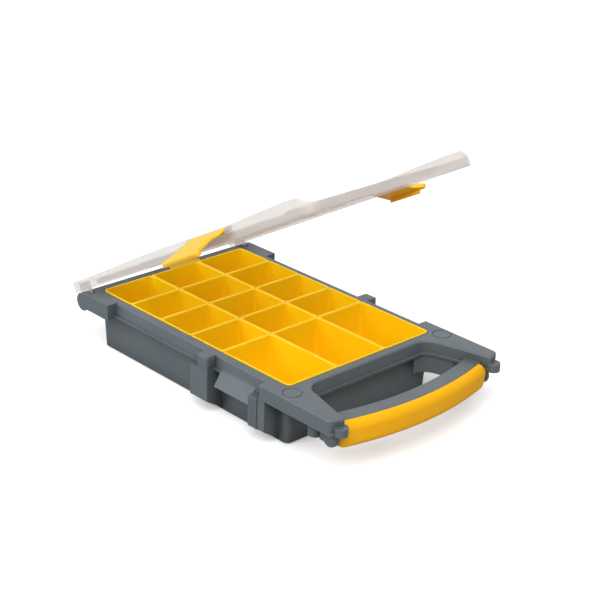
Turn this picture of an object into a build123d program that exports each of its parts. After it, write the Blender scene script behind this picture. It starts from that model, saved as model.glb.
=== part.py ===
from build123d import *
import math
import os

os.makedirs("parts", exist_ok=True)

# Carry case for small parts, in millimetres. X runs from the hinges to the handle,
# Y from the near side to the far side, and Z up from the surface that the case lies on.

# Loose bins, and the tray that they fill
bin_pitch_x = 46.5
bin_pitch_y = 62.0
small_rows = 4
bin_columns = 3
large_bin_length = 93.0
bin_gap = 0.6
bin_wall = 1.4
bin_floor = 1.6
bin_corner = 5.0
bin_draft = 3.0
bin_proud = 1.0
tray_clearance = 0.4

# Tub
case_height = 61.0
tub_wall = 2.2
tub_floor = 2.2
tub_corner = 9.0
tub_draft = 3.0
foot_height = 1.5
foot_width = 8.0
foot_inset = 3.0
foot_corner = 2.5

# Hollow rim round the tub, with a proud lip along its lower edge
rim_side_width = 8.0
rim_hinge_width = 11.5
rim_front_width = 8.0
rim_depth = 15.0
rim_wall = 2.0
rim_flare = 1.8
rim_edge_radius = 2.5
lip_height = 2.5
lip_out = 1.2

# Hinge blocks at the two back corners
hinge_back = 8.5
hinge_below_rim = 10.0
barrel_radius = 9.5
block_length = 42.0
block_depth = 16.5
block_past_lid = 7.5
ear_thickness = 3.0
ear_radius = 6.2
ear_neck_half = 8.0
ear_side_clearance = 0.4
ear_front_clearance = 0.7
hinge_pin_radius = 2.0
hinge_pin_clearance = 0.06
hinge_pin_length = 15.0

# Lid, drawn as it stands open
lid_angle = 28.94
lid_tail = 18.5
lid_reach = 370.5
lid_past_tray = 12.0
lid_corner = 12.0
lid_lift = 0.4
rail_height = 13.6
rail_wall = 2.2
plate_above_rail_foot = 6.6
plate_thickness = 2.0
rail_fall_length = 10.0
divider_depth = 4.5
divider_thickness = 1.4
hand_hole_start = 12.5
hand_hole_length = 51.0
hand_hole_half_width = 80.0
hand_hole_corner = 16.0

# Catches on the sides of the case
bracket_start = 34.0
bracket_end = 48.0
rib_out = 19.0
panel_start = 23.5
right_rib_start = 106.0
right_rib_step = 117.0
right_rib_end = 127.0
right_rib_step_in = 1.2
rib_foot = 15.0
rib_root = 3.0
catch_start = 58.0
catch_drop = 26.0
catch_thickness = 2.6

# Latches, drawn flipped outward
latch_x = 82.0
latch_width = 56.0
latch_waist = 44.0
latch_root_depth = 9.0
latch_waist_depth = 16.0
latch_flip = 60.0
latch_barrel_radius = 2.9
latch_pivot_out = 3.4
latch_pivot_below_rail_top = 4.0
latch_plate_thickness = 2.1
latch_root_offset = 0.8
latch_edge_clearance = 1.2
hook_clearance = 0.6
hook_thickness = 2.3
hook_reach = 4.2
tab_length = 5.0
tab_flare = 3.6
latch_pin_radius = 1.3
latch_pin_clearance = 0.06
lug_thickness = 3.0
lug_radius = 3.1
lug_side_clearance = 0.4

# Arms and handle
arm_start = 119.5
arm_out = 18.0
arm_wall = 2.2
arm_top_wall = 2.4
arm_root_in = 15.0
arm_tip_outer_x = 210.5
arm_tip_inner_x = 216.0
arm_tip_in = 3.5
arm_tip_outer_radius = 5.0
arm_tip_inner_radius = 2.5
arm_edge_radius = 2.0
hand_corner_radius = 18.0
hand_lip_out = 1.4
hand_lip_height = 3.0
corner_web_depth = 33.5
corner_web_length = 30.5
nub_x = 215.5
nub_in = 8.0
nub_radius = 6.5
nub_height = 8.0
mark_x = 150.5
mark_y = 99.0
mark_radius = 9.5
mark_width = 1.2
mark_depth = 0.8
post_x = 176.5
post_y = 94.0
post_radius = 7.0
post_wall = 2.2
post_bottom = 28.5

# Bar of the handle and its cover, both turned about the same upright line
bow_radius = 332.0
bow_overrun = 1.1
grip_span = 98.0
core_outer_apex = 218.5
core_width = 16.5
core_height = 24.0
core_below_arm_top = 8.0
core_edge_radius = 1.5
cover_proud = 7.5
cover_wall_below = 2.5
cover_inner_wall = 2.2
cover_inner_height = 19.5
cover_top_drop = 8.5
cover_bottom_radius = 8.0
cover_inner_corner = 5.0
cover_clearance = 0.15
cover_end_gap = 0.5
cover_end_slant = 6.0
cover_slant_height = 14.5
arm_clearance = 0.5
cap_x = 202.5
cap_z = 37.4
cap_radius = 8.3
cap_thickness = 5.5
cap_dome = 2.5
spigot_in = 5.0
spigot_radius = 3.0
spigot_length = 8.0
spigot_clearance = 0.05

# Sizes that follow from the values above
tray_length = small_rows * bin_pitch_x + large_bin_length
tray_width = bin_columns * bin_pitch_y
half_tray_x = tray_length / 2
half_tray_y = tray_width / 2
cavity_length = tray_length + 2 * tray_clearance
cavity_width = tray_width + 2 * tray_clearance
floor_top = foot_height + tub_floor
hinge_x = -half_tray_x - hinge_back
lid_half_width = half_tray_y + lid_past_tray
hinge_z = case_height - hinge_below_rim
rim_back = -half_tray_x - rim_hinge_width
rim_front = half_tray_x + rim_front_width
rim_half_y = half_tray_y + rim_side_width
skirt_bottom = case_height - rim_depth
lip_half_y = rim_half_y + rim_flare + lip_out
block_half_y = lid_half_width + block_past_lid
rib_half_y = half_tray_y + rib_out
arm_half_y = half_tray_y + arm_out
arm_root_y = half_tray_y - arm_root_in
arm_tip_inner_y = half_tray_y + arm_tip_in
nub_y = half_tray_y + nub_in
bow_x = core_outer_apex - bow_radius
core_top = case_height - core_below_arm_top
core_bottom = core_top - core_height
core_inner_apex = core_outer_apex - core_width
cover_bottom = core_bottom - cover_wall_below
cover_span = grip_span - cover_end_gap
spigot_x = cap_x - spigot_in
rail_foot = case_height + lid_lift - hinge_z
rail_top = rail_foot + rail_height
plate_bottom = rail_foot + plate_above_rail_foot
plate_top = plate_bottom + plate_thickness
ear_inner_y = lid_half_width - ear_thickness
pivot_y = lid_half_width + latch_pivot_out
pivot_w = rail_top - latch_pivot_below_rail_top
pivot_z_closed = hinge_z + pivot_w
latch_u = latch_x - hinge_x
catch_bottom = case_height - catch_drop
catch_out = rib_half_y
deep = 2 * case_height


# Directions of the lid as it stands open
open_cos = math.cos(math.radians(lid_angle))
open_sin = math.sin(math.radians(lid_angle))
along_lid = Vector(open_cos, 0, open_sin)
above_lid = Vector(-open_sin, 0, open_cos)
hinge_point = Vector(hinge_x, 0, hinge_z)
lid_plane = Plane(origin=hinge_point, x_dir=along_lid, z_dir=above_lid)
lid_side = Plane(origin=hinge_point, x_dir=along_lid, z_dir=(0, -1, 0))


def shrink(height, draft):
    """How far a wall leans in over a height."""
    return height * math.tan(math.radians(draft))


def drafted_box(length, width, corner, bottom, top, draft, x=0, y=0):
    """Rounded block, given at its top size, narrower at its foot."""
    lean = shrink(top - bottom, draft)
    with BuildPart() as block:
        with BuildSketch(Plane(origin=(x, y, bottom))):
            RectangleRounded(length - 2 * lean, width - 2 * lean, corner - lean)
        extrude(amount=top - bottom, taper=-draft)
    return block.part


def bowed_bar(section, span):
    """Section, drawn with its distance from the bow's centre and its height, turned into a bar."""
    turn = math.asin(bow_overrun * span / bow_radius)
    start = Plane(
        origin=(bow_x, 0, 0),
        x_dir=(math.cos(turn), -math.sin(turn), 0),
        z_dir=(-math.sin(turn), -math.cos(turn), 0),
    )
    with BuildPart() as bar:
        with BuildSketch(start):
            add(section)
        revolve(axis=Axis((bow_x, 0, 0), (0, 0, 1)), revolution_arc=2 * math.degrees(turn))
        with BuildSketch(Plane(origin=(core_outer_apex, 0, 0))):
            Rectangle(deep, 2 * span)
        extrude(amount=deep, mode=Mode.INTERSECT)
    return bar.part


def arm_outline(grow=0.0):
    """Plan of the near arm: straight outside, slanted tip, and a round sweep into the rim."""
    with BuildSketch() as plan:
        with BuildLine():
            Polyline(
                (arm_start, -half_tray_y),
                (arm_start, -arm_half_y),
                (arm_tip_outer_x, -arm_half_y),
                (arm_tip_inner_x, -arm_tip_inner_y),
                (rim_front, -arm_root_y),
                (rim_front, hand_corner_radius - arm_root_y),
                (half_tray_x, hand_corner_radius - arm_root_y),
                (half_tray_x, -half_tray_y),
                close=True,
            )
        make_face()
        corners = plan.vertices()
        fillet(corners.sort_by_distance((rim_front, -arm_root_y))[0], hand_corner_radius)
        fillet(plan.vertices().sort_by_distance((arm_tip_outer_x, -arm_half_y))[0], arm_tip_outer_radius)
        inner_tip = plan.vertices().sort_by_distance((arm_tip_inner_x, -arm_tip_inner_y))[0]
        fillet(inner_tip, arm_tip_inner_radius)
        if grow:
            offset(amount=grow)
    return plan.sketch


def make_arm():
    """Near arm, hollow from below, with its nub, corner web and post."""
    with BuildPart() as arm:
        with BuildSketch(Plane.XY.offset(skirt_bottom)):
            add(arm_outline())
        extrude(amount=rim_depth)
        top_edges = arm.edges().group_by(Axis.Z)[-1]
        fillet(top_edges.filter_by(lambda e: (e @ 0.5).X > rim_front), arm_edge_radius)
        # Lip along the lower edge inside the hand opening
        with BuildSketch(Plane.XY.offset(skirt_bottom)):
            add(arm_outline(hand_lip_out))
            with Locations((rim_front, -arm_half_y)):
                Rectangle(deep, 2 * (arm_half_y - arm_tip_inner_y), mode=Mode.SUBTRACT)
            with Locations((half_tray_x, 0)):
                Rectangle(rim_front_width, deep, mode=Mode.SUBTRACT)
        extrude(amount=hand_lip_height)
        # Round nub at the tip
        with BuildSketch(Plane.XY.offset(skirt_bottom)):
            with Locations((nub_x, -nub_y)):
                Circle(nub_radius)
        extrude(amount=nub_height)
        with BuildSketch(Plane.XY.offset(skirt_bottom)):
            add(arm_outline(-arm_wall))
        extrude(amount=rim_depth - arm_top_wall, mode=Mode.SUBTRACT)
        # Deep web round the corner of the hand opening
        with BuildSketch(Plane.XY.offset(case_height - corner_web_depth)):
            add(arm_outline())
            add(arm_outline(-arm_wall), mode=Mode.SUBTRACT)
            with Locations((rim_front + corner_web_length / 2, -arm_root_y)):
                Rectangle(corner_web_length, 2 * hand_corner_radius, mode=Mode.INTERSECT)
        extrude(amount=corner_web_depth - arm_top_wall)
        with BuildSketch(Plane(origin=(post_x, -post_y, post_bottom))):
            Circle(post_radius)
        extrude(amount=case_height - arm_top_wall - post_bottom)
        with BuildSketch(Plane(origin=(post_x, -post_y, post_bottom))):
            Circle(post_radius - post_wall)
        extrude(amount=case_height - arm_top_wall - post_bottom, mode=Mode.SUBTRACT)
    return arm.part


def make_rib(start, end, outer_y):
    """Upright rib on the near wall, cut away towards the foot of the tub."""
    with BuildPart() as rib:
        with BuildSketch(Plane.YZ.offset(start)):
            with BuildLine():
                Polyline(
                    (-half_tray_y, skirt_bottom),
                    (-outer_y, skirt_bottom),
                    (-outer_y, rib_foot),
                    (-half_tray_y, rib_root),
                    close=True,
                )
            make_face()
        extrude(amount=end - start)
    return rib.part


def make_side_fittings():
    """Hinge block, bracket, ribs and catch bar of the near side."""
    wall_y = -half_tray_y
    with BuildPart() as side:
        with BuildSketch(Plane.XZ.offset(-wall_y)):
            with Locations((hinge_x, hinge_z)):
                Circle(barrel_radius)
            with Locations((hinge_x + block_length / 2, case_height - block_depth / 2)):
                Rectangle(block_length, block_depth)
        extrude(amount=block_half_y - half_tray_y)
        with BuildSketch(Plane(origin=(0, wall_y, case_height))):
            with Locations(((bracket_start + bracket_end) / 2, -rib_out / 2)):
                Rectangle(bracket_end - bracket_start, rib_out)
        extrude(amount=-rim_depth)
        add(make_rib(panel_start, bracket_end, rib_half_y))
        add(make_rib(right_rib_start, right_rib_step, rib_half_y))
        add(make_rib(right_rib_step, right_rib_end, rib_half_y - right_rib_step_in))
        with BuildSketch(Plane.YZ.offset(catch_start)):
            with BuildLine():
                Polyline(
                    (-rim_half_y, skirt_bottom + 2 * lip_height),
                    (-lip_half_y, skirt_bottom + lip_height),
                    (-catch_out, catch_bottom),
                    (-catch_out + catch_thickness, catch_bottom),
                    (-rim_half_y + lip_out, skirt_bottom),
                    close=True,
                )
            make_face()
        extrude(amount=right_rib_start - catch_start)
    return side.part


def rim_plan(grow, corner):
    """Plan of the rim, grown to all sides, with the given corner radius."""
    with BuildSketch() as plan:
        with Locations(((rim_back + rim_front) / 2, 0)):
            RectangleRounded(rim_front - rim_back + 2 * grow, 2 * (rim_half_y + grow), corner)
    return plan.sketch


def make_rim():
    """Closed rim, hollow from below, with its proud lip."""
    lean = math.degrees(math.atan(rim_flare / rim_depth))
    with BuildPart() as rim:
        with BuildSketch(Plane.XY.offset(skirt_bottom)):
            add(rim_plan(rim_flare, tub_corner + rim_flare))
        extrude(amount=rim_depth, taper=lean)
        fillet(rim.edges().group_by(Axis.Z)[-1], rim_edge_radius)
        with BuildSketch(Plane.XY.offset(skirt_bottom)):
            add(rim_plan(rim_flare + lip_out, tub_corner + rim_flare + lip_out))
        extrude(amount=lip_height)
        with BuildSketch(Plane.XY.offset(skirt_bottom)):
            add(rim_plan(rim_flare - rim_wall, tub_corner))
        extrude(amount=rim_depth - rim_wall, taper=lean, mode=Mode.SUBTRACT)
    return rim.part


def cap_face(side, x):
    """End face of the handle's bar, centred at the height of its cap."""
    return Plane(origin=(x, side * grip_span, cap_z), x_dir=(1, 0, 0), z_dir=(0, side, 0))


def pin_face(side):
    """Outer face of a hinge block, centred on the hinge's axis."""
    return Plane(origin=(hinge_x, side * block_half_y, hinge_z), x_dir=(1, 0, 0), z_dir=(0, side, 0))


def make_core():
    """Bowed grey bar between the arms, under the yellow cover."""
    with BuildSketch() as section:
        with Locations((bow_radius - core_width / 2, core_top - core_height / 2)):
            Rectangle(core_width, core_height)
        fillet(section.vertices().group_by(Axis.Y)[-1], core_edge_radius)
    return bowed_bar(section.sketch, grip_span)


def cover_section():
    """Section of the grip's cover: round outside, clipped round the bar from outside and below."""
    outer = bow_radius + cover_proud
    inner = bow_radius - core_width
    shelf = inner - cover_inner_wall
    with BuildSketch() as section:
        with BuildLine():
            shoulder = EllipticalCenterArc(
                (bow_radius, core_top - cover_top_drop), cover_proud, cover_top_drop, arc_size=90
            )
            face = Line(shoulder @ 0, (outer, cover_bottom + cover_bottom_radius))
            turn = TangentArc(face @ 1, (outer - cover_bottom_radius, cover_bottom), tangent=(0, -1))
            base = Line(turn @ 1, (shelf + cover_inner_corner, cover_bottom))
            rise = TangentArc(base @ 1, (shelf, cover_bottom + cover_inner_corner), tangent=(-1, 0))
            Polyline(
                rise @ 1,
                (shelf, cover_bottom + cover_inner_height),
                (inner, cover_bottom + cover_inner_height),
                (inner, core_top),
                shoulder @ 1,
            )
        make_face()
        with Locations((bow_radius - core_width / 2, core_top - core_height / 2)):
            Rectangle(
                core_width + 2 * cover_clearance,
                core_height + 2 * cover_clearance,
                mode=Mode.SUBTRACT,
            )
        with Locations((inner, core_top)):
            Rectangle(core_width, 2 * (core_height - cover_inner_height), mode=Mode.SUBTRACT)
    return section.sketch


rim = make_rim()
side_fittings = make_side_fittings()
near_arm = make_arm()
core = make_core()
bin_level = case_height + bin_proud

# Case: tub, rim, hinge blocks, catches, arms and the bar of the handle, in one moulding
with BuildPart() as case:
    add(rim)
    add(near_arm)
    add(mirror(near_arm, about=Plane.XZ))
    add(side_fittings)
    add(mirror(side_fittings, about=Plane.XZ))
    add(core)
    add(drafted_box(cavity_length + 2 * tub_wall, cavity_width + 2 * tub_wall, tub_corner,
                    foot_height, case_height, tub_draft))
    foot_length = cavity_width + 2 * tub_wall - 2 * shrink(case_height, tub_draft) - 2 * foot_inset
    for row in range(-small_rows // 2, small_rows // 2 + 1):
        with BuildSketch(Plane(origin=(row * bin_pitch_x, 0, 0))):
            RectangleRounded(foot_width, foot_length, foot_corner)
        extrude(amount=foot_height)
    add(drafted_box(cavity_length, cavity_width, bin_corner + tray_clearance,
                    floor_top, case_height, tub_draft), mode=Mode.SUBTRACT)
    for side in (-1, 1):
        # Slot for the lid's ear, open above, below and behind
        slot_width = ear_thickness + 2 * ear_side_clearance
        slot_y = side * (lid_half_width - ear_thickness / 2)
        slot_start = hinge_x - 2 * barrel_radius
        slot_end = hinge_x + ear_neck_half + ear_front_clearance
        with BuildSketch(Plane(origin=((slot_start + slot_end) / 2, slot_y, 0))):
            Rectangle(slot_end - slot_start, slot_width)
        extrude(amount=deep, mode=Mode.SUBTRACT)
        # Bore of the hinge pin, from the block's outer face
        with BuildSketch(pin_face(side)):
            Circle(hinge_pin_radius)
        extrude(amount=-hinge_pin_length, mode=Mode.SUBTRACT)
        # Ring mark on the root of the arm
        with BuildSketch(Plane(origin=(mark_x, side * mark_y, case_height))):
            Circle(mark_radius)
            Circle(mark_radius - mark_width, mode=Mode.SUBTRACT)
        extrude(amount=-mark_depth, mode=Mode.SUBTRACT)
        # Socket of the handle's end cap
        with BuildSketch(cap_face(side, spigot_x)):
            Circle(spigot_radius + spigot_clearance)
        extrude(amount=-spigot_length - spigot_clearance, mode=Mode.SUBTRACT)

case.part.label = "case"
export_step(case.part, "parts/case.step")

# Yellow cover of the handle, with slanted ends that pass under the arms
with BuildPart() as grip_cover:
    add(bowed_bar(cover_section(), cover_span))
    for side in (-1, 1):
        with BuildSketch(Plane.YZ.offset(core_inner_apex - 2 * cover_span)):
            with BuildLine():
                Polyline(
                    (side * (cover_span - cover_end_slant), cover_bottom - cover_clearance),
                    (side * 2 * cover_span, cover_bottom - cover_clearance),
                    (side * 2 * cover_span, cover_bottom + cover_slant_height),
                    (side * cover_span, cover_bottom + cover_slant_height),
                    close=True,
                )
            make_face()
        extrude(amount=4 * cover_span, mode=Mode.SUBTRACT)
    with BuildSketch(Plane.XY.offset(skirt_bottom - arm_clearance)) as arm_room:
        add(arm_outline(hand_lip_out + arm_clearance))
        with Locations((nub_x, -nub_y)):
            Circle(nub_radius + arm_clearance)
        mirror(about=Plane.XZ)
    extrude(amount=deep, mode=Mode.SUBTRACT)

grip_cover.part.label = "grip_cover"
export_step(grip_cover.part, "parts/grip_cover.step")


def make_cap(side):
    """Round cap on the end of the handle's bar, with its spigot."""
    with BuildPart() as cap:
        with BuildSketch(cap_face(side, cap_x)):
            Circle(cap_radius)
        extrude(amount=cap_thickness)
        rounds = cap.edges().sort_by(Axis.Y)
        fillet(rounds[-1] if side > 0 else rounds[0], cap_dome)
        with BuildSketch(cap_face(side, spigot_x)):
            Circle(spigot_radius)
        extrude(amount=-spigot_length)
    return cap.part


def make_hinge_pin(side):
    """Pin pressed into a hinge block through the lid's ear."""
    with BuildPart() as pin:
        with BuildSketch(pin_face(side)):
            Circle(hinge_pin_radius)
        extrude(amount=-hinge_pin_length)
    return pin.part


def make_bin(x, y, length):
    """Loose bin with rounded corners and drafted walls."""
    top_length = length - bin_gap
    top_width = bin_pitch_y - bin_gap
    with BuildPart() as cup:
        add(drafted_box(top_length, top_width, bin_corner, floor_top, bin_level, bin_draft, x, y))
        add(drafted_box(top_length - 2 * bin_wall, top_width - 2 * bin_wall, bin_corner - bin_wall,
                        floor_top + bin_floor, bin_level, bin_draft, x, y), mode=Mode.SUBTRACT)
    return cup.part


def lid_outline(inset):
    """Plan of the lid in its own plane: square at the hinges, round at the free corners."""
    half = lid_half_width - inset
    end = lid_reach - inset
    corner = lid_corner - inset
    with BuildSketch() as plan:
        with BuildLine():
            Polyline((end - corner, -half), (-lid_tail, -half), (-lid_tail, half), (end - corner, half))
            far_corner = TangentArc((end - corner, half), (end, half - corner), tangent=(1, 0))
            near_corner = TangentArc((end - corner, -half), (end, corner - half), tangent=(1, 0))
            Line(far_corner @ 1, near_corner @ 1)
        make_face()
    return plan.sketch


# Lid: clear plate between two side rails, with hinge ears and latch lugs
with BuildPart() as lid:
    with BuildSketch(lid_plane.offset(rail_foot)):
        add(lid_outline(0))
    extrude(amount=rail_height)
    tail_cut = lid_tail + rail_wall
    with BuildSketch(lid_plane.offset(plate_top)):
        add(lid_outline(rail_wall))
        with Locations((0, 0)):
            Rectangle(2 * tail_cut, 2 * (lid_half_width - rail_wall))
    extrude(amount=rail_height, mode=Mode.SUBTRACT)
    with BuildSketch(lid_plane.offset(rail_foot)):
        add(lid_outline(rail_wall))
        with Locations((0, 0)):
            Rectangle(2 * tail_cut, 2 * (lid_half_width - rail_wall))
    extrude(amount=plate_bottom - rail_foot, mode=Mode.SUBTRACT)
    # The rails fall to the front edge's height near the free end
    with BuildSketch(lid_side):
        with BuildLine():
            fall_start = lid_reach - rail_fall_length - lid_corner
            crest = Line((fall_start, rail_top), (lid_reach + lid_corner, rail_top))
            fall = TangentArc(crest @ 0, (lid_reach - lid_corner, plate_top), tangent=(1, 0))
            Polyline(fall @ 1, (lid_reach + lid_corner, plate_top), crest @ 1)
        make_face()
    extrude(amount=deep, both=True, mode=Mode.SUBTRACT)
    # Hand opening over the one in the case
    hole_start = half_tray_x + hand_hole_start - hinge_x
    hole_plane = lid_plane.offset(rail_foot)
    with BuildSketch(hole_plane):
        with Locations((hole_start + hand_hole_length / 2, 0)):
            RectangleRounded(hand_hole_length, 2 * hand_hole_half_width, hand_hole_corner)
    extrude(amount=rail_height, mode=Mode.SUBTRACT)
    # Low dividers that keep small parts in their bins
    row_lines = [-half_tray_x + row * bin_pitch_x for row in range(small_rows + 1)] + [half_tray_x]
    column_lines = [-half_tray_y + column * bin_pitch_y for column in range(bin_columns + 1)]
    with BuildSketch(lid_plane.offset(plate_bottom)):
        for line_x in row_lines:
            with Locations((line_x - hinge_x, 0)):
                Rectangle(divider_thickness, tray_width + divider_thickness)
        for line_y in column_lines:
            with Locations((-hinge_x, line_y)):
                Rectangle(tray_length + divider_thickness, divider_thickness)
    extrude(amount=-divider_depth)
    for side in (-1, 1):
        # Ear that turns on the hinge pin
        ear_middle = hinge_point + Vector(0, side * ear_inner_y, 0)
        ear_face = Plane(origin=ear_middle, x_dir=along_lid, z_dir=(0, -1, 0))
        with BuildSketch(ear_face):
            Circle(ear_radius)
            with BuildLine():
                Polyline(
                    (-ear_radius, 0),
                    (ear_radius, 0),
                    (ear_neck_half, rail_foot),
                    (ear_neck_half, plate_top),
                    (-ear_neck_half, plate_top),
                    (-ear_neck_half, rail_foot),
                    close=True,
                )
            make_face()
            Circle(hinge_pin_radius + hinge_pin_clearance, mode=Mode.SUBTRACT)
        extrude(amount=-side * ear_thickness)
        # Lugs that carry the latch pin
        for end in (-1, 1):
            lug_u = latch_u + end * (latch_width / 2 + lug_side_clearance + lug_thickness / 2)
            lug_middle = hinge_point + along_lid * lug_u
            lug_face = Plane(origin=lug_middle, x_dir=(0, side, 0), z_dir=along_lid * side)
            with BuildSketch(lug_face):
                with Locations((pivot_y, pivot_w)):
                    Circle(lug_radius)
                with Locations(((lid_half_width - rail_wall / 2 + pivot_y) / 2, pivot_w)):
                    Rectangle(pivot_y - lid_half_width + rail_wall / 2, 2 * lug_radius)
                with Locations((pivot_y, pivot_w)):
                    Circle(latch_pin_radius, mode=Mode.SUBTRACT)
            extrude(amount=lug_thickness / 2, both=True)

lid.part.label = "lid"
export_step(lid.part, "parts/lid.step")


def pivot_point(side):
    """Middle of a latch's pivot as the lid stands open."""
    return hinge_point + along_lid * latch_u + above_lid * pivot_w + Vector(0, side * pivot_y, 0)


def make_latch_pin(side):
    """Pin through the two lugs of a latch."""
    face = Plane(origin=pivot_point(side), x_dir=(0, 1, 0), z_dir=along_lid)
    with BuildPart() as pin:
        with BuildSketch(face):
            Circle(latch_pin_radius)
        extrude(amount=latch_width / 2 + lug_side_clearance + lug_thickness, both=True)
    return pin.part


def make_latch(side):
    """Latch with its barrel, leaning plate, hook and finger tab, flipped outward."""
    flip = math.radians(latch_flip)
    outward = Vector(0, side, 0) * math.cos(flip) + above_lid * math.sin(flip)
    upward = above_lid * math.cos(flip) - Vector(0, side, 0) * math.sin(flip)
    section = Plane(origin=pivot_point(side), x_dir=outward, z_dir=along_lid * side)
    edge_out = catch_out - pivot_y
    edge_down = pivot_z_closed - catch_bottom
    plate_out = edge_out + latch_edge_clearance
    hook_top = math.hypot(edge_out, edge_down) + hook_clearance
    hook_bottom = hook_top + hook_thickness
    hook_tip = plate_out - hook_reach
    hook_mid = plate_out - hook_reach / 2
    plate_end = math.sqrt(hook_top**2 - plate_out**2)
    tab_end = hook_bottom + tab_length
    with BuildPart() as latch:
        with BuildSketch(section):
            Circle(latch_barrel_radius)
            with BuildLine():
                plate = Line((latch_root_offset, 0), (plate_out, -plate_end))
                hook = ThreePointArc(
                    plate @ 1,
                    (hook_mid, -math.sqrt(hook_top**2 - hook_mid**2)),
                    (hook_tip, -math.sqrt(hook_top**2 - hook_tip**2)),
                )
                Polyline(
                    hook @ 1,
                    (hook_tip, -hook_bottom),
                    (plate_out, -hook_bottom),
                    (plate_out + tab_flare, -tab_end),
                    (plate_out + tab_flare + latch_plate_thickness, -tab_end),
                    (plate_out + latch_plate_thickness, -plate_end),
                    (latch_root_offset + latch_plate_thickness, 0),
                    plate @ 0,
                )
            make_face()
            Circle(latch_pin_radius + latch_pin_clearance, mode=Mode.SUBTRACT)
        extrude(amount=latch_width / 2, both=True)
        face = Plane(origin=pivot_point(side), x_dir=along_lid, z_dir=outward)
        half = latch_width / 2
        waist = latch_waist / 2
        down = -1 if face.y_dir.dot(upward) > 0 else 1
        with BuildSketch(face):
            for end in (-1, 1):
                with BuildLine():
                    Polyline(
                        (end * 2 * half, down * latch_root_depth),
                        (end * half, down * latch_root_depth),
                        (end * waist, down * latch_waist_depth),
                        (end * waist, down * 2 * tab_end),
                        (end * 2 * half, down * 2 * tab_end),
                        close=True,
                    )
                make_face()
        extrude(amount=deep, both=True, mode=Mode.SUBTRACT)
    return latch.part


small_xs = [-half_tray_x + bin_pitch_x * (row + 0.5) for row in range(small_rows)]
large_x = half_tray_x - large_bin_length / 2
column_ys = [-half_tray_y + bin_pitch_y * (column + 0.5) for column in range(bin_columns)]

pieces = {}
for column, column_y in enumerate(column_ys, 1):
    for row, row_x in enumerate(small_xs, 1):
        pieces[f"small_bin_{row}_{column}"] = make_bin(row_x, column_y, bin_pitch_x)
    pieces[f"large_bin_{column}"] = make_bin(large_x, column_y, large_bin_length)
for side_name, side in (("near", -1), ("far", 1)):
    pieces[f"grip_end_cap_{side_name}"] = make_cap(side)
    pieces[f"hinge_pin_{side_name}"] = make_hinge_pin(side)
    pieces[f"latch_pin_{side_name}"] = make_latch_pin(side)
    pieces[f"latch_{side_name}"] = make_latch(side)

for piece_name, piece in pieces.items():
    piece.label = piece_name
    export_step(piece, f"parts/{piece_name}.step")
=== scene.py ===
import math

import bpy
import numpy as np
from mathutils import Matrix, Vector


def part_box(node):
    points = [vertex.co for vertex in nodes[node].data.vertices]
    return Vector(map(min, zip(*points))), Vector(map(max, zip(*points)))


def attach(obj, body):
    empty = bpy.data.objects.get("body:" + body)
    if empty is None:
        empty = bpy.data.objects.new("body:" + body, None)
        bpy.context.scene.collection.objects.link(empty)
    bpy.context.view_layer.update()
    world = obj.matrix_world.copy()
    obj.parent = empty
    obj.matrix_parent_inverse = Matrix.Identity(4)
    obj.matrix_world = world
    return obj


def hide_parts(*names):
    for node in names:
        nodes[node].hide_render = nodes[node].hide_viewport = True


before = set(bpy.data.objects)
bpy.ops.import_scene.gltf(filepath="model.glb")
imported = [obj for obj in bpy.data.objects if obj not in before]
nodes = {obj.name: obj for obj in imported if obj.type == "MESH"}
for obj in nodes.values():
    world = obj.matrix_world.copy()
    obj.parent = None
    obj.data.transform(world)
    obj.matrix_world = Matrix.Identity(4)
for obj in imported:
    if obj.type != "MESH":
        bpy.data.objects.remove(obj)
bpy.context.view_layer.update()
scene = bpy.context.scene
mm = 0.001
print("frame loaded:", len(nodes), "nodes")

# Camera at the photograph's angle, worked out from the tray's corners: degrees, metres, and the
# focal length in pixels of the frame
view = {
    "azimuth": 46.174,
    "elevation": 23.59,
    "roll": 2.066,
    "distance": 1.563,
    "across": -0.036145,
    "down": -0.009829,
    "binLevel": 0.062,
    "focalPixels": 1571.33,
    "frame": (598, 600),
    "sensor": 36.0,
    "clip": (0.05, 50.0),
}


def makeCamera():
    azimuth, elevation, roll = (math.radians(view[k]) for k in ("azimuth", "elevation", "roll"))
    flat = math.cos(elevation)
    back = Vector((math.sin(azimuth) * flat, -math.cos(azimuth) * flat, math.sin(elevation)))
    level = Vector((math.cos(azimuth), math.sin(azimuth), 0))
    above = back.cross(level)
    right = level * math.cos(roll) + above * math.sin(roll)
    up = above * math.cos(roll) - level * math.sin(roll)
    data = bpy.data.cameras.new("camera")
    data.sensor_width = view["sensor"]
    data.sensor_fit = "AUTO"
    data.lens = view["focalPixels"] / max(view["frame"]) * view["sensor"]
    data.clip_start, data.clip_end = view["clip"]
    camera = bpy.data.objects.new("camera", data)
    place = Matrix((right, up, back)).transposed().to_4x4()
    place.translation = (back * view["distance"] - right * view["across"] - up * view["down"]
                         + Vector((0, 0, view["binLevel"])))
    camera.matrix_world = place
    scene.collection.objects.link(camera)
    scene.camera = camera


makeCamera()
print("camera ready")


def addNode(tree, kind, settings=None, values=None, links=None):
    # One shader node, with its settings, its plain values and what feeds it
    made = tree.nodes.new(kind)
    for key, value in (settings or {}).items():
        setattr(made, key, value)
    for key, value in (values or {}).items():
        made.inputs[key].default_value = value
    for key, socket in (links or {}).items():
        tree.links.new(socket, made.inputs[key])
    return made


def startMaterial(name):
    material = bpy.data.materials.new(name)
    material.use_nodes = True
    tree = material.node_tree
    coords = addNode(tree, "ShaderNodeTexCoord").outputs["Object"]
    return material, tree, tree.nodes["Principled BSDF"], coords


def noiseOf(tree, coords, scale, detail, roughness):
    values = {"Scale": scale, "Detail": detail, "Roughness": roughness}
    return addNode(tree, "ShaderNodeTexNoise", values=values, links={"Vector": coords}).outputs["Fac"]


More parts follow.
